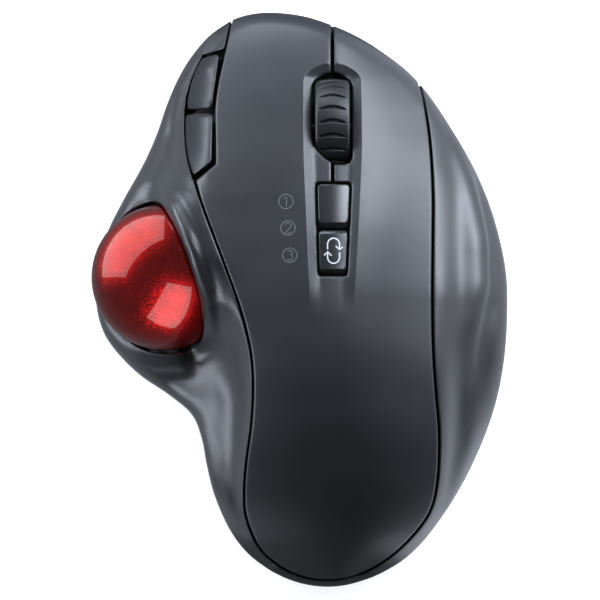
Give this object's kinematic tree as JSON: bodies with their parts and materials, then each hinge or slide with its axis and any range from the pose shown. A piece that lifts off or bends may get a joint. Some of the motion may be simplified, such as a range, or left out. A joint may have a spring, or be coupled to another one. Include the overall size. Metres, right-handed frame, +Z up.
{
  "type": "trackball mouse",
  "caption": "Wireless thumb trackball mouse: sculpted right-hand shell, red thumb ball in a left wing, two keys, scroll wheel and small buttons.",
  "frame": {"origin": "on the table under the middle of the object's box", "axes": "+Y towards the front, where the keys are; +Z up; +X to the user's right, away from the ball"},
  "size_m": [0.0971, 0.1348, 0.048],
  "materials": {
    "top_cover": "fine satin texture",
    "side_shell": "satin",
    "side_buttons": "semi-gloss",
    "top_buttons": "semi-gloss",
    "ball": "deep red with fine flake under clear gloss",
    "wheel_rubber": "ribbed",
    "feet": "smooth low-friction",
    "inner_plastic": "fine texture",
    "circuit_board": "solder mask",
    "component_plastic": "moulded",
    "steel": "plated",
    "plated_metal": "drawn",
    "battery_foil": "foil",
    "bearing_white": "polished",
    "clear": "clear",
    "pale_plastic": "moulded"
  },
  "bodies": {
    "shell": {"palm_cover": "top_cover", "side_shell": "side_shell", "base_plate": "inner_plastic", "foot_front_left": "feet", "foot_front_right": "feet", "foot_right": "feet", "foot_rear": "feet", "foot_wing": "feet", "case_screw_left": "steel", "case_screw_right": "steel", "case_screw_rear_left": "steel", "case_screw_rear_right": "steel", "ball_cup": "inner_plastic", "support_bearing_1": "bearing_white", "support_bearing_2": "bearing_white", "support_bearing_3": "bearing_white", "sensor_lens": "clear", "sensor_chip": "component_plastic", "sensor_board": "circuit_board", "main_board": "circuit_board", "radio_chip": "component_plastic", "side_button_board": "circuit_board", "top_button_board": "circuit_board", "left_switch": "component_plastic", "right_switch": "component_plastic", "forward_switch": "component_plastic", "back_switch": "component_plastic", "dpi_switch": "component_plastic", "mode_switch": "component_plastic", "wheel_switch": "component_plastic", "channel_light_1": "pale_plastic", "channel_light_2": "pale_plastic", "channel_light_3": "pale_plastic", "light_guide": "clear", "usb_port": "plated_metal", "battery": "battery_foil", "power_switch_body": "plated_metal"},
    "left_key_lever": {"left_key": "top_cover"},
    "right_key_lever": {"right_key": "top_cover"},
    "forward_cap": {"forward_button": "side_buttons"},
    "back_cap": {"back_button": "side_buttons"},
    "dpi_cap": {"dpi_button": "top_buttons"},
    "mode_cap": {"mode_button": "top_buttons"},
    "ball": {"trackball": "ball"},
    "wheel_carriage": {"wheel_carrier": "inner_plastic", "wheel_encoder": "component_plastic"},
    "wheel": {"wheel_hub": "inner_plastic", "wheel_tyre": "wheel_rubber", "wheel_axle": "steel"},
    "power_knob": {"power_switch_knob": "pale_plastic"},
    "receiver": {"receiver_cap": "inner_plastic", "receiver_plug": "plated_metal"}
  },
  "joints": [
    {"name": "left_key_press", "type": "hinge", "parent": "shell", "child": "left_key_lever", "pos_m": [-0.005, 0.004, 0.0435], "axis": [-1, 0, 0], "range_deg": [0, 0.8], "stiffness_Nm_per_rad": 2, "springref_deg": -0.57},
    {"name": "right_key_press", "type": "hinge", "parent": "shell", "child": "right_key_lever", "pos_m": [0.019, 0.004, 0.0435], "axis": [-1, 0, 0], "range_deg": [0, 0.8], "stiffness_Nm_per_rad": 2, "springref_deg": -0.57},
    {"name": "forward_button_press", "type": "slide", "parent": "shell", "child": "forward_cap", "axis": [0.5, 0, -0.866], "range_m": [0, 0.0005], "stiffness_N_per_m": 600, "springref_m": -0.0006},
    {"name": "back_button_press", "type": "slide", "parent": "shell", "child": "back_cap", "axis": [0.5, 0, -0.866], "range_m": [0, 0.0005], "stiffness_N_per_m": 600, "springref_m": -0.0006},
    {"name": "dpi_button_press", "type": "slide", "parent": "shell", "child": "dpi_cap", "axis": [0, 0, -1], "range_m": [0, 0.0005], "stiffness_N_per_m": 600, "springref_m": -0.0006},
    {"name": "mode_button_press", "type": "slide", "parent": "shell", "child": "mode_cap", "axis": [0, 0, -1], "range_m": [0, 0.0005], "stiffness_N_per_m": 600, "springref_m": -0.0006},
    {"name": "ball_spin", "type": "hinge", "parent": "shell", "child": "ball", "pos_m": [-0.0316, 0.0053, 0.0216], "axis": [0, 1, 0], "continuous": true},
    {"name": "wheel_click", "type": "slide", "parent": "shell", "child": "wheel_carriage", "axis": [0, 0, -1], "range_m": [0, 0.0004], "stiffness_N_per_m": 2500, "springref_m": -0.0004},
    {"name": "wheel_spin", "type": "hinge", "parent": "wheel_carriage", "child": "wheel", "pos_m": [0.0075, 0.0398, 0.0236], "axis": [1, 0, 0], "continuous": true},
    {"name": "power_switch_slide", "type": "slide", "parent": "shell", "child": "power_knob", "axis": [0, 1, 0], "range_m": [0, 0.003]},
    {"name": "receiver_pull", "type": "slide", "parent": "shell", "child": "receiver", "axis": [0, 0, -1], "range_m": [0, 0.022]}
  ]
}
